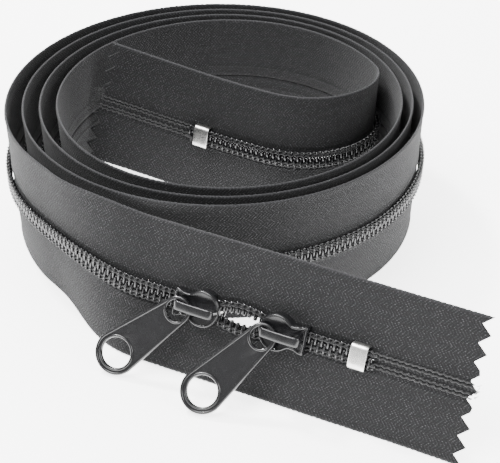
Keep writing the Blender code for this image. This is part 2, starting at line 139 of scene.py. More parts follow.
class Strip:
    """The strip's middle line, densely sampled, with its lean, rise and gap, looked up by length along it."""

    def __init__(self):
        join, leave = on_circle(ROLL_FIRST), on_circle(ROLL_LAST)
        join_way, leave_way = travel_way(ROLL_FIRST), travel_way(ROLL_LAST)
        reached = float(smoothstep((ROLL_LAST - TWIST_FROM) / TWIST_SPAN))
        t = np.linspace(0.0, 1.0, 400, endpoint=False)
        inner = bezier(INNER_CURVE, t)
        bend = bezier((INNER_CURVE[3], JOIN_HANDLES[0], join - join_way * JOIN_HANDLES[1], join), t)
        angle = np.linspace(ROLL_FIRST, ROLL_LAST, 9000, endpoint=False)
        arrive = (RUN_START - ARRIVE_HANDLE, RUN_Y)
        out = bezier((leave, leave + leave_way * LEAVE_HANDLE, arrive, (RUN_START, RUN_Y)), t)
        run = np.linspace(RUN_START, RUN_END, 600)
        plan = np.concatenate([inner, bend, on_circle(angle), out, np.stack([run, run * 0 + RUN_Y], -1)])
        lean = np.concatenate([
            t * 0 + INNER_LEAN,
            INNER_LEAN + (ROLL_LEAN - INNER_LEAN) * smoothstep(t * 8.0 / 7.0),
            ROLL_LEAN + (RUN_LEAN - ROLL_LEAN) * smoothstep((angle - TWIST_FROM) / TWIST_SPAN),
            ROLL_LEAN + (RUN_LEAN - ROLL_LEAN) * (reached + (1.0 - reached) * smoothstep((t - 0.15) / 0.85)),
            run * 0 + RUN_LEAN,
        ])
        reach = np.maximum(0.0, INNER_RISE_FROM - inner[:, 0])
        rise = np.concatenate([INNER_RISE * reach ** 2, np.zeros(len(plan) - len(inner))])
        gap = np.concatenate([
            END_GAP * smoothstep((STOP_AT["inner_stop"] - 3.0 - inner[:, 0]) / 14.0),
            np.zeros(len(t) + len(angle) + len(t)),
            spread(run),
        ])
        step = np.linalg.norm(np.diff(plan, axis=0), axis=1)
        length = np.concatenate([[0.0], np.cumsum(np.hypot(step, np.diff(rise)))])
        self.total = length[-1]
        # even samples every quarter of a millimetre, with the lean smoothed a little
        even = np.linspace(0.0, self.total, int(self.total / 0.25))
        look = lambda values: np.interp(even, length, values)
        self.s = even
        self.plan = np.stack([look(plan[:, 0]), look(plan[:, 1])], -1)
        window = np.hanning(33)
        window /= window.sum()
        padded = np.pad(look(lean), 16, mode="edge")
        self.lean = np.radians(np.convolve(padded, window, "valid"))
        self.rise, self.gap = look(rise), look(gap)
        self.inner_x = self.plan[:, 0].copy()

    def at(self, s):
        """Frames at lengths s: place, then the ways along, up the tape, and out of the toothed face."""
        s = np.asarray(s, float)
        look = lambda values: np.interp(s, self.s, values)
        h = 0.4
        ahead = np.stack([np.interp(s + h, self.s, self.plan[:, k]) for k in (0, 1)], -1)
        behind = np.stack([np.interp(s - h, self.s, self.plan[:, k]) for k in (0, 1)], -1)
        way = ahead - behind
        flat = np.linalg.norm(way, axis=-1, keepdims=True)
        way = way / flat
        slope = (np.interp(s + h, self.s, self.rise) - np.interp(s - h, self.s, self.rise)) / flat[..., 0]
        along = np.concatenate([way, slope[..., None]], -1)
        along /= np.linalg.norm(along, axis=-1, keepdims=True)
        across = np.stack([way[..., 1], -way[..., 0], np.zeros(s.shape)], -1)
        lean = look(self.lean)[..., None]
        up = np.cross(across, along) * np.cos(lean) - across * np.sin(lean)
        out = np.cross(along, up)
        tilt = lean[..., 0]
        height = HALF_WIDTH * np.cos(tilt) + HALF_THICK * np.abs(np.sin(tilt)) + look(self.rise)
        place = np.stack([look(self.plan[:, 0]), look(self.plan[:, 1]), height], -1) + SHIFT
        return place, along, up, out

    def gap_at(self, s):
        """Half the gap between the rows at lengths s."""
        return np.interp(s, self.s, self.gap)

    def point(self, s, v, n):
        """Points v up the tape and n out of its toothed face, in millimetres."""
        s, v, n = np.broadcast_arrays(np.asarray(s, float), v, n)
        place, _, up, out = self.at(s)
        return place + up * v[..., None] + out * n[..., None]

    def at_run_x(self, x):
        """Length along the strip at which the straight run has this x."""
        return self.total - (RUN_END - x)

    def at_inner_x(self, x):
        """Length along the strip at which the inner run has this x."""
        reach = self.s < 60.0
        return float(np.interp(x, self.inner_x[reach], self.s[reach]))


STRIP = Strip()


def local_frame(s):
    """Matrix from a place's own millimetres (along, up, out) to the world's, as origin and three ways."""
    place, along, up, out = STRIP.at(np.array([s]))
    return place[0], along[0], up[0], out[0]


# ---------------------------------------------------------------- meshes from arrays

def add_mesh(name, shell, material, body, uv=None):
    """Makes a smooth mesh at the origin from a shell (points in millimetres, quads, triangles or None), its
    faces turned outward, and lets it ride on a body."""
    points = shell[0]
    quads, triangles = outward(*shell)
    faces = [quads] if triangles is None else [quads, triangles]
    mesh = bpy.data.meshes.new(name)
    corners = np.concatenate([face.ravel() for face in faces])
    counts = np.concatenate([np.full(len(face), face.shape[1]) for face in faces])
    starts = np.concatenate([[0], np.cumsum(counts)[:-1]])
    mesh.vertices.add(len(points))
    mesh.vertices.foreach_set("co", (points * MM).astype(np.float32).ravel())
    mesh.loops.add(len(corners))
    mesh.loops.foreach_set("vertex_index", corners.astype(np.int32))
    mesh.polygons.add(len(counts))
    mesh.polygons.foreach_set("loop_start", starts.astype(np.int32))
    mesh.polygons.foreach_set("loop_total", counts.astype(np.int32))
    mesh.polygons.foreach_set("use_smooth", np.ones(len(counts), bool))
    if uv is not None:
        layer = mesh.uv_layers.new(name="cloth")
        layer.data.foreach_set("uv", uv[corners].astype(np.float32).ravel())
    mesh.update()
    mesh.validate()
    piece = bpy.data.objects.new(name, mesh)
    bpy.context.scene.collection.objects.link(piece)
    mesh.materials.append(material)
    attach(piece, body)
    return piece


def ring_quads(rows, columns, close_rows=False):
    """Quads of a grid whose columns close on themselves."""
    r = np.arange(rows if close_rows else rows - 1)[:, None]
    c = np.arange(columns)[None, :]
    here, there = r * columns, ((r + 1) % rows) * columns
    nxt = (c + 1) % columns
    return np.stack([here + c, here + nxt, there + nxt, there + c], -1).reshape(-1, 4)


def end_fans(rows, columns):
    """Triangles that close a grid's first and last ring, each round one more point after the grid's own."""
    c = np.arange(columns)
    after = (c + 1) % columns
    last = (rows - 1) * columns
    middle = rows * columns
    return np.concatenate([
        np.stack([after, c, np.full(columns, middle)], -1),
        np.stack([last + c, last + after, np.full(columns, middle + 1)], -1),
    ])


def end_strips(rows, columns):
    """Quads that close a grid's first and last ring, each from its front half across to its back half."""
    c = np.arange(columns // 2 - 1)
    caps = np.stack([c, c + 1, columns - 2 - c, columns - 1 - c], -1)
    return np.concatenate([caps[:, ::-1], caps + (rows - 1) * columns])


def tube(path, side_way, radius, sides, stretch=None):
    """A closed rod along a path: circles square to its tangent, started from side_way, with pointed ends."""
    tangent = np.gradient(path, axis=0)
    tangent /= np.linalg.norm(tangent, axis=1, keepdims=True)
    first = side_way - tangent * np.sum(side_way * tangent, 1, keepdims=True)
    first /= np.linalg.norm(first, axis=1, keepdims=True)
    second = np.cross(tangent, first)
    turn = np.arange(sides) * 2.0 * np.pi / sides
    radius = np.broadcast_to(radius, (len(path),))[:, None, None]
    stretch = np.ones(len(path)) if stretch is None else stretch
    ring = (np.cos(turn)[None, :, None] * first[:, None, :] * stretch[:, None, None]
            + np.sin(turn)[None, :, None] * second[:, None, :])
    points = (path[:, None, :] + ring * radius).reshape(-1, 3)
    points = np.concatenate([points, path[:1], path[-1:]])
    return points, ring_quads(len(path), sides), end_fans(len(path), sides)


def solid_loft(sections):
    """Closed sections (rows x columns x 3) joined in order, each end filled by a fan to its own middle."""
    rows, columns = sections.shape[:2]
    points = np.concatenate([sections.reshape(-1, 3), sections[:1].mean(1), sections[-1:].mean(1)])
    return points, ring_quads(rows, columns), end_fans(rows, columns)


def outward(points, quads, triangles):
    """Turns every face round if the shell's signed volume is negative."""
    halves = [quads[:, [0, 1, 2]], quads[:, [0, 2, 3]]]
    corners = np.concatenate(halves if triangles is None else [*halves, triangles])
    a, b, c = points[corners[:, 0]], points[corners[:, 1]], points[corners[:, 2]]
    if np.sum(a * np.cross(b, c)) < 0:
        quads = quads[:, ::-1]
        triangles = None if triangles is None else triangles[:, ::-1]
    return quads, triangles


def place_in(frame_of, local):
    """Local points (along, across, out) put into the world by a frame's origin and three ways."""
    origin, x, y, z = frame_of
    return origin + local[..., :1] * x + local[..., 1:2] * y + local[..., 2:3] * z


# ---------------------------------------------------------------- materials

class Nodes:
    """Short calls for building one material's node tree."""

    def __init__(self, name, roughness=0.5, metallic=0.0):
        self.material = bpy.data.materials.new(name)
        self.material.use_nodes = True
        self.tree = self.material.node_tree
        self.shader = self.tree.nodes["Principled BSDF"]
        self.shader.inputs["Roughness"].default_value = roughness
        self.shader.inputs["Metallic"].default_value = metallic

    def add(self, kind, **settings):
        node = self.tree.nodes.new(kind)
        for key, value in settings.items():
            setattr(node, key, value)
        return node

    def link(self, source, target):
        self.tree.links.new(source, target)

    def math(self, operation, a, b=None, c=None):
        node = self.add("ShaderNodeMath", operation=operation)
        for k, value in enumerate((a, b, c)):
            if value is None:
                continue
            if isinstance(value, (int, float)):
                node.inputs[k].default_value = value
            else:
                self.link(value, node.inputs[k])
        return node.outputs[0]

    def noise(self, vector, scale, detail=2.0, roughness=0.5):
        node = self.add("ShaderNodeTexNoise")
        node.inputs["Scale"].default_value = scale
        node.inputs["Detail"].default_value = detail
        node.inputs["Roughness"].default_value = roughness
        self.link(vector, node.inputs["Vector"])
        return node.outputs["Fac"]

    def ramp(self, value, stops):
        node = self.add("ShaderNodeValToRGB")
        while len(node.color_ramp.elements) < len(stops):
            node.color_ramp.elements.new(0.5)
        for element, (place, colour) in zip(node.color_ramp.elements, stops):
            element.position = place
            element.color = (*colour, 1.0)
        self.link(value, node.inputs["Fac"])
        return node.outputs["Color"]

    def mix(self, factor, a, b):
        node = self.add("ShaderNodeMix", data_type="RGBA")
        for socket, value in ((node.inputs[0], factor), (node.inputs[6], a), (node.inputs[7], b)):
            if isinstance(value, (int, float)):
                socket.default_value = value
            elif isinstance(value, tuple):
                socket.default_value = (*value, 1.0)
            else:
                self.link(value, socket)
        return node.outputs[2]

    def bump(self, height, strength, distance):
        node = self.add("ShaderNodeBump")
        node.inputs["Strength"].default_value = strength
        node.inputs["Distance"].default_value = distance
        self.link(height, node.inputs["Height"])
        self.link(node.outputs["Normal"], self.shader.inputs["Normal"])

    def object_point(self):
        return self.add("ShaderNodeTexCoord").outputs["Object"]


def cloth_material(name, dark, light):
    """Herringbone: slanted ribs that turn back at every band; the ribs' crowns are painted lighter as a
    highlight and the grooves between them darker as shade, with uneven grain.
    """
    m = Nodes(name, 0.85)
    m.shader.inputs["Sheen Weight"].default_value = 0.08
    m.shader.inputs["Sheen Roughness"].default_value = 0.45
    m.shader.inputs["Specular IOR Level"].default_value = 0.3
    uv = m.add("ShaderNodeUVMap", uv_map="cloth").outputs["UV"]
    split = m.add("ShaderNodeSeparateXYZ")
    m.link(uv, split.inputs[0])
    along = m.math("MULTIPLY", split.outputs[0], 1000.0)
    up = m.math("MULTIPLY", split.outputs[1], 1000.0)
    band = m.math("PINGPONG", up, 1.3)
    phase = m.math("MULTIPLY", m.math("ADD", along, m.math("MULTIPLY", band, 0.9)), 2 * math.pi / 0.78)
    rib = m.math("MULTIPLY_ADD", m.math("SINE", phase), 0.5, 0.5)
    pick = m.math("MULTIPLY_ADD", m.math("SINE", m.math("MULTIPLY", up, 2 * math.pi / 0.34)), 0.5, 0.5)
    grid = m.add("ShaderNodeCombineXYZ")
    m.link(along, grid.inputs[0])
    m.link(m.math("MULTIPLY", up, 2.2), grid.inputs[1])
    grain = m.math("MULTIPLY_ADD", m.noise(grid.outputs[0], 1.7, 3.0, 0.65), 2.4, -0.7)
    drift = m.noise(grid.outputs[0], 0.09, 2.0, 0.5)
    # painted highlight and shade: the colour follows the rib, pick and grain height that also drives the
    # bump, lighter on the crowns and darker in the grooves; the grain also adds uneven tone
    over = m.math("MULTIPLY", m.math("MULTIPLY", rib, m.math("MULTIPLY_ADD", pick, 0.5, 0.5)), grain)
    shade = m.ramp(over, [(0.12, dark), (0.34, tuple(0.22 * (a + b) for a, b in zip(dark, light))),
                          (0.5, light), (0.72, tuple(3.2 * v for v in light))])
    middle = m.mix(m.math("MULTIPLY", drift, 0.35), shade, tuple(0.6 * v for v in dark))
    past_edge = m.math("SUBTRACT", m.math("ABSOLUTE", up), 15.35)
    edge = m.math("SMOOTH_MAX", m.math("MULTIPLY", past_edge, 1.6), 0.0, 0.1)
    selvedge = m.math("MULTIPLY", m.math("MINIMUM", edge, 1.0), 0.55)
    edged = m.mix(selvedge, middle, tuple(1.25 * v for v in light))
    m.link(edged, m.shader.inputs["Base Color"])
    height = m.math("ADD", m.math("MULTIPLY", rib, 0.7), m.math("ADD", m.math("MULTIPLY", pick, 0.25), grain))
    m.bump(height, 0.75, 0.00016)
    return m.material


def nylon_material(name, colour):
    """Drawn nylon: glossy, with faint lengthwise mottling."""
    m = Nodes(name, 0.16)
    m.shader.inputs["Specular IOR Level"].default_value = 0.85
    point = m.object_point()
    mottle = m.noise(point, 900.0, 2.0)
    m.link(m.mix(mottle, tuple(0.7 * v for v in colour), tuple(1.5 * v for v in colour)),
           m.shader.inputs["Base Color"])
    m.bump(m.noise(point, 4000.0), 0.15, 0.00003)
    return m.material


def yarn_material(name, colour):
    """Twisted yarn: slanted plies with fuzz, painted lighter on their crowns and darker between them as
    highlight and shade.
    """
    m = Nodes(name, 0.7)
    m.shader.inputs["Sheen Weight"].default_value = 0.3
    point = m.object_point()
    wave = m.add("ShaderNodeTexWave", bands_direction="DIAGONAL")
    wave.inputs["Scale"].default_value = 900.0
    wave.inputs["Distortion"].default_value = 2.0
    m.link(point, wave.inputs["Vector"])
    # painted highlight and shade: the plies' colour follows the same wave as the bump, lighter on its crowns
    # and darker in its hollows
    m.link(m.mix(wave.outputs["Fac"], tuple(0.6 * v for v in colour), tuple(2.0 * v for v in colour)),
           m.shader.inputs["Base Color"])
    m.bump(wave.outputs["Fac"], 0.5, 0.00006)
    return m.material


def enamel_material(name, colour, roughness=0.2, coat=0.3):
    """Black enamel over zinc: a thin clear coat, slight orange peel, and a few dull rubbed patches."""
    m = Nodes(name, roughness)
    m.shader.inputs["Specular IOR Level"].default_value = 0.45
    m.shader.inputs["Coat Weight"].default_value = coat
    m.shader.inputs["Coat Roughness"].default_value = 0.1
    point = m.object_point()
    patch = m.noise(point, 600.0, 3.0)
    m.link(m.mix(m.math("MULTIPLY", patch, 0.6), colour, tuple(2.2 * v for v in colour)),
           m.shader.inputs["Base Color"])
    m.link(m.math("MULTIPLY_ADD", patch, 0.12, roughness - 0.04), m.shader.inputs["Roughness"])
    m.bump(m.noise(point, 2500.0, 2.0), 0.05, 0.00004)
    return m.material


def bright_metal_material(name, colour, roughness=0.25, brush=(1.0, 1.0, 30.0)):
    """Bright rolled metal with fine drawn lines and a few darker smudges."""
    m = Nodes(name, roughness, 1.0)
    point = m.object_point()
    mapping = m.add("ShaderNodeMapping")
    mapping.inputs["Scale"].default_value = brush
    m.link(point, mapping.inputs["Vector"])
    lines = m.noise(mapping.outputs[0], 700.0, 3.0)
    smudge = m.noise(point, 350.0, 2.0)
    m.link(m.mix(smudge, tuple(0.8 * v for v in colour), colour), m.shader.inputs["Base Color"])
    m.link(m.math("MULTIPLY_ADD", lines, 0.18, roughness - 0.06), m.shader.inputs["Roughness"])
    m.bump(lines, 0.12, 0.00003)
    return m.material


# ---------------------------------------------------------------- tapes

TAPE_COLUMNS = np.array([0.15, 0.9, 1.7, 2.3, 2.65, 2.95, 3.25, 3.6, 4.6,
                         6.0, 8.0, 10.0, 12.0, 14.0, 15.0, 15.45, 15.8, 16.0])


def pinked(v):
    """How far the cut end stands back at v: a triangle wave with a point every four millimetres."""
    return 2.3 * np.abs((v / 4.0 + 0.5) % 1.0 * 2.0 - 1.0)


def tape_lift(v):
    """Half-thickness across the tape: a rib beside the coil, and a rounded, slightly thicker selvedge."""
    rib = 0.17 * np.exp(-((v - 2.95) / 0.26) ** 2)
    selvedge = 0.1 * np.exp(-((v - 15.45) / 0.35) ** 2)
    edge = np.sqrt(np.clip((HALF_WIDTH - v) / 0.25, 0.03, 1.0))
    return (HALF_THICK - 0.04 + rib + selvedge) * edge


def make_tape(side, name, material):
    """A thin closed band: for each length a row of columns over the toothed face and back under the other."""
    total = STRIP.total
    s = np.linspace(0.0, total, int(total / 0.6))
    v = TAPE_COLUMNS
    gap = STRIP.gap_at(s)[:, None]
    # the chain edge stands back by the gap, and the far edge stays where it is
    low, high = coil_reach()
    past = np.maximum(smoothstep((low + 1.0 - s) / 2.0), smoothstep((s - high + 1.0) / 2.0))[:, None]
    inner = 0.12 + gap - 0.17 * past
    across = inner + (v[None, :] - v[0]) / (HALF_WIDTH - v[0]) * (HALF_WIDTH - inner)
    picks = np.abs(np.sin(np.pi * s / 1.35))[:, None] - 1.0
    scallop = 0.16 * np.clip((v[None, :] - 15.2) / 0.8, 0.0, 1.0) * picks
    # both ends are cut to points: the last stretch of each column is drawn out or in to the cut
    stretch = 9.0
    start = pinked(v)[None, :] * np.clip(1.0 - s[:, None] / stretch, 0.0, 1.0)
    finish = pinked(v)[None, :] * np.clip(1.0 - (total - s[:, None]) / stretch, 0.0, 1.0)
    places = s[:, None] + start - finish
    # the cloth isn't quite flat: long shallow waves that die out beside the chain
    wave = 0.22 * np.sin(places / 17.0 + side)
    wave += 0.12 * np.sin(places / 6.3 + 2.0 * side + v[None, :] * 0.25)
    wave *= smoothstep((v[None, :] - 5.0) / 9.0) * smoothstep((s[:, None] - total + 95.0) / 20.0)
    lift = tape_lift(v)[None, :]
    front = STRIP.point(places, side * (across + scallop), wave + lift)
    back = STRIP.point(places, side * (across + scallop), wave - lift * 0.9)
    grid = np.concatenate([front, back[:, ::-1]], axis=1)
    uv_front = np.stack(np.broadcast_arrays(places, side * v[None, :]), -1)
    uv = np.concatenate([uv_front, uv_front[:, ::-1]], axis=1).reshape(-1, 2) * MM
    rows, columns = grid.shape[:2]
    quads = np.concatenate([ring_quads(rows, columns), end_strips(rows, columns)])
    tape = add_mesh(name + "_cloth", (grid.reshape(-1, 3), quads, None), material, "strip", uv=uv)
    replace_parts(tape, name)


# ---------------------------------------------------------------- coil, cord and stitches

def coil_reach():
    """Lengths along the strip between which there are teeth."""
    return STRIP.at_inner_x(STOP_AT["inner_stop"]) - 3.4, STRIP.at_run_x(STOP_AT["front_stop"]) + 3.2


def make_coil(side, name, material):
    """One filament wound flat: a squared-off oval in section that goes forward by a pitch each turn."""
    low, high = coil_reach()
    turns = int((high - low) / COIL_PITCH)
    per = 16
    u = np.tile(np.arange(per) / per, turns)
    k = np.repeat(np.arange(turns), per) + (0.5 if side < 0 else 0.0)
    cos, sin = np.cos(2 * np.pi * u), np.sin(2 * np.pi * u)
    inner, outer = -0.4, 2.0
    v = (inner + outer) / 2 + (outer - inner) / 2 * np.sign(cos) * np.abs(cos) ** 0.75
    n = 1.06 + 0.42 * np.sign(sin) * np.abs(sin) ** 0.55
    forward = 0.14 * smoothstep((u - 0.4) / 0.2) + 0.86 * smoothstep((u - 0.84) / 0.16)
    s = low + COIL_PITCH * (k + forward)
    head = np.exp(-((u - 0.5) / 0.07) ** 2)
    path = STRIP.point(s, side * (v + STRIP.gap_at(s)), n)
    way = STRIP.at(s)[1]
    wire = tube(path, way, FILAMENT * (1.0 - 0.1 * head), 6, stretch=1.0 + 0.45 * head)
    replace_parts(add_mesh(name + "_loops", wire, material, "strip"), name)


def make_core(side, name, material):
    """The cord that the coil is wound round: a rod whose thickness ripples a little along it."""
    low, high = coil_reach()
    s = np.arange(low - 1.0, high + 1.0, 0.6)
    path = STRIP.point(s, side * (1.15 + STRIP.gap_at(s)), np.full(s.shape, 1.05))
    way = STRIP.at(s)[2]
    cord = tube(path, way, 0.28 + 0.03 * np.sin(s * 4.0), 7)
    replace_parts(add_mesh(name + "_yarn", cord, material, "strip"), name)


def make_stitches(side, name, offset, material):
    """A stitched strand: it lies on each leg of the coil and dips between them, swaying from side to side,
    and goes on along the bare tape past both stops."""
    low, high = coil_reach()
    s = np.arange(1.0, STRIP.total - 1.0, COIL_PITCH / 5.0)
    turn = 2 * np.pi * (s - low) / COIL_PITCH + (0.0 if side > 0 else np.pi)
    on_coil = smoothstep((s - low + 0.6) / 1.2) * smoothstep((high + 0.6 - s) / 1.2)
    n = 0.34 + 1.26 * on_coil + 0.18 * np.cos(turn)
    v = offset - 0.35 * (1.0 - on_coil) + 0.13 * np.sin(turn)
    path = STRIP.point(s, side * (v + STRIP.gap_at(s)), n)
    way = STRIP.at(s)[3]
    row = tube(path, way, 0.09 + 0.08 * (1.0 - on_coil), 5)
    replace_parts(add_mesh(name + "_stitches", row, material, "strip"), name)


def make_tape_ends(name, material):
    """Loose fibres at both cut ends: hairs from a seeded generator, each curling off along a parabola."""
    seed = np.random.default_rng(7)
    total = STRIP.total
    hairs = []
    count = 0
    starts = [(0.4, -1.0, seed.uniform(-3.4, 3.4)) for _ in range(46)]
    starts += [(total - 0.4, 1.0, seed.uniform(-1.6, 1.6)) for _ in range(10)]
    t = np.linspace(0.0, 1.0, 7)[:, None]
    for start, way, height in starts:
        length = seed.uniform(0.8, 3.0) if way < 0 else seed.uniform(0.5, 1.4)
        curl = seed.uniform(-1.2, 1.2, 2)
        place, along, up, out = STRIP.at(np.array([start]))
        path = place + up * (height + curl[0] * t ** 2) + out * (curl[1] * t ** 2)
        path += along * way * length * (t - 0.3)
        points, quads, caps = tube(path, np.broadcast_to(up, path.shape) + 0.01, 0.045, 4)
        quads, caps = outward(points - points.mean(0), quads, caps)
        hairs.append((points, quads + count, caps + count))
        count += len(points)
    add_mesh(name, [np.concatenate(parts) for parts in zip(*hairs)], material, "strip")


# ---------------------------------------------------------------- stops

def make_stop(name, s_middle, material):
    """A crimped band: a rounded C round the chain, its section carried along it and drawn in at both ends."""
    turn = np.linspace(0.0, np.pi, 25)
    # outside: a superellipse over the chain; inside: the same, one wall in
    rise = np.abs(np.sin(turn)) ** 0.42
    reach = np.sign(np.cos(turn)) * np.abs(np.cos(turn)) ** 0.42
    outer = np.stack([2.85 * reach, 0.42 + 2.02 * rise], -1)
    inner = np.stack([2.5 * reach, 0.42 + 1.66 * rise], -1)
    outer[[0, -1], 1] = 0.36
    inner[[0, -1], 1] = 0.36
    section = np.concatenate([outer, inner[::-1]])
    middle = np.concatenate([(outer + inner) / 2, ((outer + inner) / 2)[::-1]])
    along = np.array([-1.9, -1.85, -1.72, -0.6, 0.0, 0.6, 1.72, 1.85, 1.9])
    round_off = np.array([0.5, 0.82, 1.0, 1.0, 1.0, 1.0, 1.0, 0.82, 0.5])
    dent = 0.07 * np.exp(-(along / 0.5) ** 2)
    rows = []
    for a, grow, dip in zip(along, round_off, dent):
        ring = middle + (section - middle) * grow
        ring[:, 1] -= dip * np.clip(ring[:, 1] - 0.8, 0.0, 1.0)
        rows.append(np.column_stack([np.full(len(ring), a), ring]))
    grid = place_in(local_frame(s_middle), np.array(rows))
    quads = np.concatenate([ring_quads(*grid.shape[:2]), end_strips(*grid.shape[:2])])
    band = add_mesh(name + "_band", (grid.reshape(-1, 3), quads, None), material, "strip")
    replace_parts(band, name)


# ---------------------------------------------------------------- sliders

def slider_frame(side):
    """A slider's own ways: its narrow end along x, and out of the chain along z."""
    place, facing = SLIDER_AT[side]
    origin, along, up, out = local_frame(STRIP.at_run_x(place))
    return origin, along * facing, up * facing, out


def plate_outline(inset=0.0):
    """A round mouth, an arc about (-1.4, 0), then a curve through the waist to a flared narrow end."""
    arc = np.radians(np.linspace(180.0, 52.0, 27))
    mouth = np.stack([-1.4 + (4.12 - inset) * np.cos(arc), (4.12 - inset) * np.sin(arc)], -1)
    t = np.linspace(0.0, 1.0, 14)[1:]
    way = np.array([math.sin(math.radians(52.0)), -math.cos(math.radians(52.0))])
    # every control point moves in by the inset in y, and by its own share of it in x
    waist_handle = mouth[-1] + way * (1.5 - 0.3 * inset)
    inward = lambda x, y, share: (x - share * inset, y - inset)
    waist, shoulder, tip = inward(3.1, 2.7, 0.0), inward(5.1, 3.14, 1.0), inward(5.5, 2.8, 1.0)
    upper = np.concatenate([
        mouth,
        bezier((mouth[-1], waist_handle, inward(2.1, 2.66, 0.0), waist), t),
        bezier((waist, inward(4.1, 2.74, 0.6), inward(4.5, 3.1, 1.0), shoulder), t),
        bezier((shoulder, inward(5.4, 3.14, 1.0), inward(5.5, 3.05, 1.0), tip), t[::3]),
    ])
    return np.concatenate([upper, upper[:0:-1] * np.array([1.0, -1.0])])


def stacked(outline_at, insets, heights, frame_of):
    """A solid from flat rings: the outline for each inset, at each height."""
    outlines = [outline_at(inset) for inset in insets]
    rings = [flat_loop(outline, high) for outline, high in zip(outlines, heights)]
    return solid_loft(place_in(frame_of, np.stack(rings)))


def apply_modifier(piece, modifier):
    """Applies one modifier to a piece's mesh."""
    with bpy.context.temp_override(object=piece, active_object=piece, selected_objects=[piece]):
        bpy.ops.object.modifier_apply(modifier=modifier.name)


def read_faces(mesh, field, kind):
    """One value for each of a mesh's faces, as an array."""
    values = np.empty(len(mesh.polygons), kind)
    mesh.polygons.foreach_get(field, values)
    return values


def soften(piece, width):
    """Rounds the cut edges; the wide faces between them stay flat, and the narrow ones are shaded smooth."""
    round_off = piece.modifiers.new("soften", "BEVEL")
    round_off.width, round_off.segments, round_off.limit_method = width * MM, 3, "ANGLE"
    round_off.angle_limit = math.radians(40.0)
    apply_modifier(piece, round_off)
    smooth_under = 1.2e-6
    piece.data.polygons.foreach_set("use_smooth", read_faces(piece.data, "area", float) < smooth_under)


def add_beads(piece, loops, radius, frame_of):
    """Rolled rims: for each closed loop (x, y, height) a rod whose circle stands square to the loop's own
    direction, added to the piece's mesh."""
    mesh = piece.data
    turn = np.arange(8) * np.pi / 4.0
    upward = np.array([0.0, 0.0, 1.0])
    own = np.empty(len(mesh.vertices) * 3)
    mesh.vertices.foreach_get("co", own)
    points = [own.reshape(-1, 3) / MM]
    faces = [tuple(polygon.vertices) for polygon in mesh.polygons]
    smooth = [read_faces(mesh, "use_smooth", bool)]
    count = len(points[0])
    for loop in loops:
        way = np.roll(loop, -1, 0) - np.roll(loop, 1, 0)
        way /= np.linalg.norm(way, axis=1, keepdims=True)
        side = np.stack([way[:, 1], -way[:, 0], np.zeros(len(loop))], -1)
        ring = np.cos(turn)[None, :, None] * side[:, None, :] + np.sin(turn)[None, :, None] * upward
        placed = place_in(frame_of, loop[:, None, :] + radius * ring).reshape(-1, 3)
        quads, _ = outward(placed - placed.mean(0), ring_quads(len(loop), len(turn), close_rows=True), None)
        points.append(placed)
        faces += (quads + count).tolist()
        smooth.append(np.ones(len(quads), bool))
        count += len(placed)
    material = mesh.materials[0]
    mesh.clear_geometry()
    mesh.from_pydata((np.concatenate(points) * MM).tolist(), [], faces)
    mesh.polygons.foreach_set("use_smooth", np.concatenate(smooth))
    if not mesh.materials:
        mesh.materials.append(material)
    mesh.update()


def flat_loop(outline, height):
    """An outline as a loop of points at one height."""
    return np.column_stack([outline, np.full(len(outline), height)])


def channel_outline():
    """The way through: wide at the mouth for both rows, snug at the waist."""
    upper = np.array([(-6.5, 3.4), (-2.6, 3.6), (-1.5, 3.68), (-0.5, 3.45), (0.5, 2.95),
                      (1.5, 2.5), (2.6, 2.32), (3.9, 2.35), (6.5, 2.6)])
    return np.concatenate([upper, upper[::-1] * np.array([1.0, -1.0])])


def make_top_plate(side, material):
    """Stacked outlines with a round shoulder, less the channel below, the dish above and the pawl's hole."""
    frame_of = slider_frame(side)
    insets = np.array([0.12, 0.0, 0.0, 0.0, 0.04, 0.15, 0.32])
    heights = np.array([FLANGE_LOW, FLANGE_LOW + 0.12, 1.3, 2.5, 2.74, 2.95, PLATE_TOP])
    shell = stacked(plate_outline, insets, heights, frame_of)
    plate = add_mesh(f"{side}_top_plate", shell, material, f"{side}_slider")
    cut_away(plate, plug(channel_outline(), -1.0, PLATE_UNDER, frame_of))
    cut_away(plate, plug(plate_outline(0.7), PLATE_TOP - 0.3, 6.0, frame_of))
    hole = np.array([(2.35, -0.5), (3.3, -0.5), (3.3, 0.5), (2.35, 0.5)])
    cut_away(plate, plug(hole, 1.0, 6.0, frame_of))
    soften(plate, 0.1)
    add_beads(plate, [flat_loop(plate_outline(0.42), PLATE_TOP - 0.16)], 0.3, frame_of)
    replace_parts(plate, f"{side}_slider_body")


def make_back_plate(side, material):
    """A flat plate behind the tape: the same outline, a little smaller, rounded over at both faces."""
    insets = np.array([0.42, 0.24, 0.14, 0.12, 0.14, 0.24, 0.42])
    heights = np.array([-1.35, -1.3, -1.15, -0.92, -0.7, -0.55, -0.5])
    shell = stacked(plate_outline, insets, heights, slider_frame(side))
    add_mesh(f"{side}_back_plate", shell, material, f"{side}_slider")


def make_post(side, material):
    """The divider: a wedge blunt towards the mouth, drawn up from the back plate into the top plate."""
    turn = np.linspace(0.0, 2 * np.pi, 24, endpoint=False)
    forward = -4.0 - 1.15 * np.cos(turn)
    wide = 0.62 * np.abs(np.sin(turn)) ** 0.8 * np.sign(np.sin(turn)) * (0.62 + 0.38 * np.cos(turn))
    heights = np.array([-0.7, -0.4, 0.0, 0.8, 1.6, 2.2])
    flare = np.array([1.25, 1.05, 1.0, 1.0, 1.03, 1.2])
    grid = np.stack(np.broadcast_arrays(forward, wide * flare[:, None], heights[:, None]), -1)
    wedge = solid_loft(place_in(slider_frame(side), grid))
    add_mesh(f"{side}_divider_post", wedge, material, f"{side}_slider")


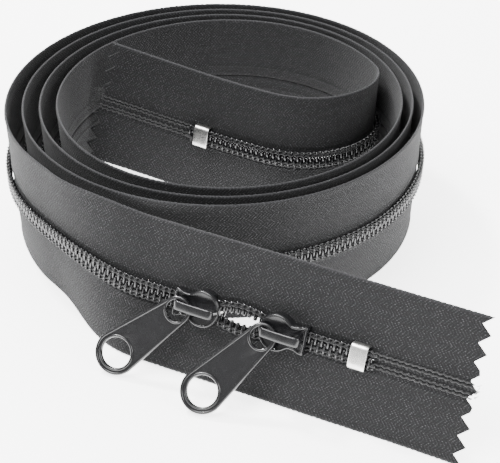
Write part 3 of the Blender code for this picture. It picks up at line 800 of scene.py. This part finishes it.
def make_bridge(side, material):
    """A strap from leg to leg: its rounded section follows a path up, over and down, widest along its top."""
    span, far, foot, top, bend = 3.97, 0.85, PLATE_TOP - 0.26, 5.6, 0.8
    t = np.linspace(0.0, np.pi / 2, 9)
    leg = np.stack([np.full(5, -span), np.linspace(foot, top - bend - 0.15, 5)], -1)
    turn = np.stack([-span + bend * (1.0 - np.cos(t)), top - bend + bend * np.sin(t)], -1)
    across = np.linspace(-span + bend, span - bend, 13)[1:-1]
    flat = np.stack([across, top + 0.14 * (1.0 - (across / (span - bend)) ** 2)], -1)
    half_path = np.concatenate([leg, turn])
    path = np.concatenate([half_path, flat, half_path[::-1] * np.array([-1.0, 1.0])])
    # the leg away from the pull's eye stands nearer the plate's end
    away = -1.0 if side == "left" else 1.0
    path[:, 0] += away * far * smoothstep((path[:, 0] * away + 1.0) / 4.0)
    tangent = np.gradient(path, axis=0)
    tangent /= np.linalg.norm(tangent, axis=1, keepdims=True)
    normal = np.stack([-tangent[:, 1], tangent[:, 0]], -1)
    around = np.linspace(0.0, 2 * np.pi, 24, endpoint=False)
    wide = np.sign(np.cos(around)) * np.abs(np.cos(around)) ** 0.45
    thick = np.sign(np.sin(around)) * np.abs(np.sin(around)) ** 0.6
    half = 0.62 + 0.4 * smoothstep((path[:, 1] - 4.3) / 1.1)
    grid = np.stack([path[:, :1] + normal[:, :1] * thick[None, :] * 0.4, half[:, None] * wide[None, :],
                     path[:, 1:] + normal[:, 1:] * thick[None, :] * 0.4], -1)
    shell = solid_loft(place_in(slider_frame(side), grid))
    strap = add_mesh(f"{side}_bridge_strap", shell, material, f"{side}_slider")
    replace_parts(strap, f"{side}_slider_bridge")


# ---------------------------------------------------------------- pulls

def pull_frame(side):
    """A pull's own ways: x from its eye to its ring, z out of the tape, as it hangs at rest."""
    origin, x, y, z = slider_frame(side)
    sign = 1.0 if side == "left" else -1.0
    direction, rest = PULL_POSE[side]
    turn = math.radians(direction if sign > 0 else direction + 180.0)
    heading = x * math.cos(turn) + y * math.sin(turn)
    sideways = np.cross(z, heading)
    start = origin + x * sign * EYE[0] + y * sign * EYE[1] + z * PULL_MIDDLE - heading * PULL_BACK
    tilt = math.radians(rest)
    tipped = heading * math.cos(tilt) + z * math.sin(tilt)
    return start, tipped, sideways, np.cross(tipped, sideways)


def pull_outline(inset=0.0, steps=120):
    """Two arcs, round the eye and round the ring, joined by their common tangents."""
    eye, ring = PULL_BACK, PULL_BACK + RING_AWAY
    small, large = EYE_RADIUS - inset, RING_RADIUS - inset
    slant = math.asin((large - small) / RING_AWAY)
    first = np.linspace(np.pi / 2 + slant, 1.5 * np.pi - slant, steps // 2)
    second = np.linspace(-np.pi / 2 - slant, np.pi / 2 + slant, steps // 2)
    sides = 12
    a = np.stack([eye + small * np.cos(first), small * np.sin(first)], -1)
    b = np.stack([ring + large * np.cos(second), large * np.sin(second)], -1)
    t = np.linspace(0.0, 1.0, sides + 2)[1:-1, None]
    return np.concatenate([a, a[-1] + (b[0] - a[-1]) * t, b, b[-1] + (a[0] - b[-1]) * t])


def cut_away(piece, cutter):
    """Subtracts one closed mesh from another with the exact solver, and drops the cutter."""
    bpy.context.view_layer.update()
    change = piece.modifiers.new("cut", "BOOLEAN")
    change.operation, change.solver, change.object = "DIFFERENCE", "EXACT", cutter
    apply_modifier(piece, change)
    mesh = cutter.data
    bpy.data.objects.remove(cutter, do_unlink=True)
    bpy.data.meshes.remove(mesh)


def plug(outline, low, high, frame_of):
    """A straight-sided cutter over an outline, as a bare object."""
    rings = np.stack([flat_loop(outline, height) for height in (low, high)])
    points, quads, caps = solid_loft(place_in(frame_of, rings))
    quads, caps = outward(points, quads, caps)
    mesh = bpy.data.meshes.new("plug")
    mesh.from_pydata((points * MM).tolist(), [], quads.tolist() + caps.tolist())
    item = bpy.data.objects.new("plug", mesh)
    bpy.context.scene.collection.objects.link(item)
    return item


def circle(centre, radius, steps=64):
    """Points round a circle whose middle is on the pull's own line."""
    turn = np.linspace(0.0, 2 * np.pi, steps, endpoint=False)
    return np.stack([centre + radius * np.cos(turn), radius * np.sin(turn)], -1)


def make_pull(side, material):
    """A thin web between two round holes, with rolled rims round its outline, its eye and its ring hole."""
    frame_of = pull_frame(side)
    insets = np.array([0.2, 0.06, 0.0, 0.0, 0.06, 0.2])
    heights = np.array([-0.3, -0.28, -0.2, 0.2, 0.28, 0.3])
    shell = stacked(pull_outline, insets, heights, frame_of)
    pull = add_mesh(f"{side}_pull_tab", shell, material, f"{side}_puller")
    eye, ring = PULL_BACK, PULL_BACK + RING_AWAY
    cut_away(pull, plug(circle(eye, EYE_HOLE + 0.1), -2.0, 2.0, frame_of))
    cut_away(pull, plug(circle(ring, RING_HOLE + 0.1), -2.0, 2.0, frame_of))
    soften(pull, 0.06)
    rims = (pull_outline(0.36), circle(eye, EYE_HOLE + 0.36), circle(ring, RING_HOLE + 0.38))
    add_beads(pull, [flat_loop(rim, high) for rim in rims for high in (-0.24, 0.24)], 0.36, frame_of)
    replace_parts(pull, f"{side}_pull")


# ---------------------------------------------------------------- settings, operators and panel

class ZipperSizes(bpy.types.PropertyGroup):
    camera_azimuth: FloatProperty(name="Camera azimuth", description="Turn of the view round the object",
                                  default=math.radians(27.63), subtype="ANGLE")
    camera_elevation: FloatProperty(name="Camera elevation", description="Height of the view above the table",
                                    default=math.radians(34.0), subtype="ANGLE")
    camera_distance: FloatProperty(name="Camera distance", description="From the camera to its aim",
                                   default=0.376, unit="LENGTH")
    camera_lens: FloatProperty(name="Lens", description="Focal length in millimetres", default=118.8)


class ZipperColours(bpy.types.PropertyGroup):
    # the cloth's dark colour, also used as the painted shade in the grooves between the ribs
    tape_dark_and_groove_shade: FloatVectorProperty(name="Tape shade", description="Cloth between the ribs", subtype="COLOR",
                                   size=3, default=(0.0035, 0.0035, 0.004))
    # the cloth's lighter colour, used as the painted highlight on the ribs' crowns and as the base of the
    # lighter selvedge
    tape_light_and_crown_highlight: FloatVectorProperty(name="Tape thread", description="Cloth on the ribs", subtype="COLOR",
                                    size=3, default=(0.033, 0.033, 0.0352))
    coil: FloatVectorProperty(name="Coil", description="Nylon loops", subtype="COLOR",
                              size=3, default=(0.007, 0.007, 0.0078))
    yarn: FloatVectorProperty(name="Yarn", description="Stitches and cord", subtype="COLOR",
                              size=3, default=(0.0035, 0.0035, 0.004))
    enamel: FloatVectorProperty(name="Enamel", description="Sliders and pulls", subtype="COLOR",
                                size=3, default=(0.004, 0.004, 0.0045))
    stop: FloatVectorProperty(name="Stop metal", description="Crimped stops", subtype="COLOR",
                              size=3, default=(0.86, 0.85, 0.83))
    table: FloatVectorProperty(name="Table", description="Floor under the object", subtype="COLOR",
                               size=3, default=(0.93, 0.93, 0.93))


def colour(name):
    return tuple(getattr(bpy.context.scene.zipper_colours, name))


class ZIPPER_OT_tapes(bpy.types.Operator):
    """Make both woven tapes"""
    bl_idname = "zipper.tapes"
    bl_label = "Tapes"

    def execute(self, context):
        cloth = cloth_material("tape herringbone", colour("tape_dark_and_groove_shade"), colour("tape_light_and_crown_highlight"))
        make_tape(1.0, "upper_tape", cloth)
        make_tape(-1.0, "lower_tape", cloth)
        return {"FINISHED"}


class ZIPPER_OT_chain(bpy.types.Operator):
    """Make the coils, their cords and their stitches"""
    bl_idname = "zipper.chain"
    bl_label = "Chain"

    def execute(self, context):
        nylon = nylon_material("coil nylon", colour("coil"))
        yarn = yarn_material("stitch yarn", colour("yarn"))
        for side, name in ((1.0, "upper"), (-1.0, "lower")):
            make_coil(side, f"{name}_coil", nylon)
            make_core(side, f"{name}_core_cord", yarn)
            for row, offset in STITCH_OFFSETS.items():
                make_stitches(side, f"{name}_{row}_thread", offset, yarn)
        make_tape_ends("cut_end_fibres", yarn)
        return {"FINISHED"}


class ZIPPER_OT_stops(bpy.types.Operator):
    """Make the two crimped stops"""
    bl_idname = "zipper.stops"
    bl_label = "Stops"

    def execute(self, context):
        metal = bright_metal_material("stop aluminium", colour("stop"))
        make_stop("front_stop", STRIP.at_run_x(STOP_AT["front_stop"]), metal)
        make_stop("inner_stop", STRIP.at_inner_x(STOP_AT["inner_stop"]), metal)
        return {"FINISHED"}


class ZIPPER_OT_sliders(bpy.types.Operator):
    """Make both sliders: plates, divider posts, bridges and lock springs"""
    bl_idname = "zipper.sliders"
    bl_label = "Sliders"

    def execute(self, context):
        enamel = enamel_material("slider enamel", colour("enamel"))
        worn = bright_metal_material("worn post", (0.6, 0.59, 0.57), 0.3)
        spring = bright_metal_material("spring steel", (0.5, 0.5, 0.5), 0.3)
        for side in SLIDER_AT:
            make_top_plate(side, enamel)
            make_back_plate(side, enamel)
            make_post(side, worn)
            make_bridge(side, enamel)
            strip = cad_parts[f"{side}_lock_spring"]
            strip.data.materials.clear()
            strip.data.materials.append(spring)
        return {"FINISHED"}


class ZIPPER_OT_pulls(bpy.types.Operator):
    """Make both pulls"""
    bl_idname = "zipper.pulls"
    bl_label = "Pulls"

    def execute(self, context):
        enamel = enamel_material("pull enamel", colour("enamel"), 0.24, 0.4)
        for side in SLIDER_AT:
            make_pull(side, enamel)
        return {"FINISHED"}


class ZIPPER_OT_stage(bpy.types.Operator):
    """Make the table, the lights and the camera"""
    bl_idname = "zipper.stage"
    bl_label = "Stage"

    def execute(self, context):
        sizes = context.scene.zipper_sizes
        table = Nodes("table", 0.55)
        table.shader.inputs["Base Color"].default_value = (*colour("table"), 1.0)
        table.shader.inputs["Emission Color"].default_value = (1.0, 1.0, 1.0, 1.0)
        table.shader.inputs["Emission Strength"].default_value = TABLE_GLOW
        corners = [(-3.0, -3.0, 0.0), (3.0, -3.0, 0.0), (3.0, 3.0, 0.0), (-3.0, 3.0, 0.0)]
        mesh = bpy.data.meshes.new("table")
        mesh.from_pydata(corners, [], [(0, 1, 2, 3)])
        floor = bpy.data.objects.new("table", mesh)
        floor.data.materials.append(table.material)
        context.scene.collection.objects.link(floor)
        world = bpy.data.worlds.new("studio")
        world.use_nodes = True
        world.node_tree.nodes["Background"].inputs[0].default_value = (1.0, 1.0, 1.0, 1.0)
        world.node_tree.nodes["Background"].inputs[1].default_value = SKY
        context.scene.world = world
        turn, lift = sizes.camera_azimuth, sizes.camera_elevation
        forward = Vector((-math.sin(turn) * math.cos(lift), math.cos(turn) * math.cos(lift), -math.sin(lift)))
        aim = Vector((*((np.array(VIEW_AIM) + SHIFT) * MM),))
        camera = bpy.data.objects.new("camera", bpy.data.cameras.new("camera"))
        camera.data.lens = sizes.camera_lens
        camera.data.clip_start = 0.01
        camera.location = aim - forward * sizes.camera_distance
        camera.rotation_euler = forward.to_track_quat("-Z", "Y").to_euler()
        context.scene.collection.objects.link(camera)
        context.scene.camera = camera
        side = Vector((math.cos(turn), math.sin(turn), 0.0))
        back = Vector((-math.sin(turn), math.cos(turn), 0.0))
        for name, right, away, up, size, power in LAMPS:
            lamp = bpy.data.objects.new(name, bpy.data.lights.new(name, "AREA"))
            lamp.data.size, lamp.data.energy = size, power
            lamp.location = side * right + back * away + Vector((0.0, 0.0, up))
            lamp.rotation_euler = (LAMP_AIM - lamp.location).to_track_quat("-Z", "Y").to_euler()
            context.scene.collection.objects.link(lamp)
        return {"FINISHED"}


class ZIPPER_PT_panel(bpy.types.Panel):
    """Lists the zipper's parts in the sidebar"""
    bl_idname = "ZIPPER_PT_panel"
    bl_label = "Zipper"
    bl_space_type = "VIEW_3D"
    bl_region_type = "UI"
    bl_category = "Zipper"

    def draw(self, context):
        column = self.layout.column()
        for operator in OPERATORS:
            column.operator(operator.bl_idname)
        for group in (context.scene.zipper_sizes, context.scene.zipper_colours):
            for name in group.__annotations__:
                column.prop(group, name)


OPERATORS = (
    ZIPPER_OT_stage, ZIPPER_OT_tapes, ZIPPER_OT_chain,
    ZIPPER_OT_stops, ZIPPER_OT_sliders, ZIPPER_OT_pulls,
)
CLASSES = (ZipperSizes, ZipperColours, *OPERATORS, ZIPPER_PT_panel)


def register():
    for item in CLASSES:
        bpy.utils.register_class(item)
    bpy.types.Scene.zipper_sizes = PointerProperty(type=ZipperSizes)
    bpy.types.Scene.zipper_colours = PointerProperty(type=ZipperColours)


def unregister():
    del bpy.types.Scene.zipper_colours
    del bpy.types.Scene.zipper_sizes
    for item in reversed(CLASSES):
        bpy.utils.unregister_class(item)


def main():
    register()
    bpy.ops.zipper.stage()
    bpy.ops.zipper.tapes()
    bpy.ops.zipper.chain()
    bpy.ops.zipper.stops()
    bpy.ops.zipper.sliders()
    bpy.ops.zipper.pulls()
    bpy.context.view_layer.update()


if __name__ == "__main__":
    main()
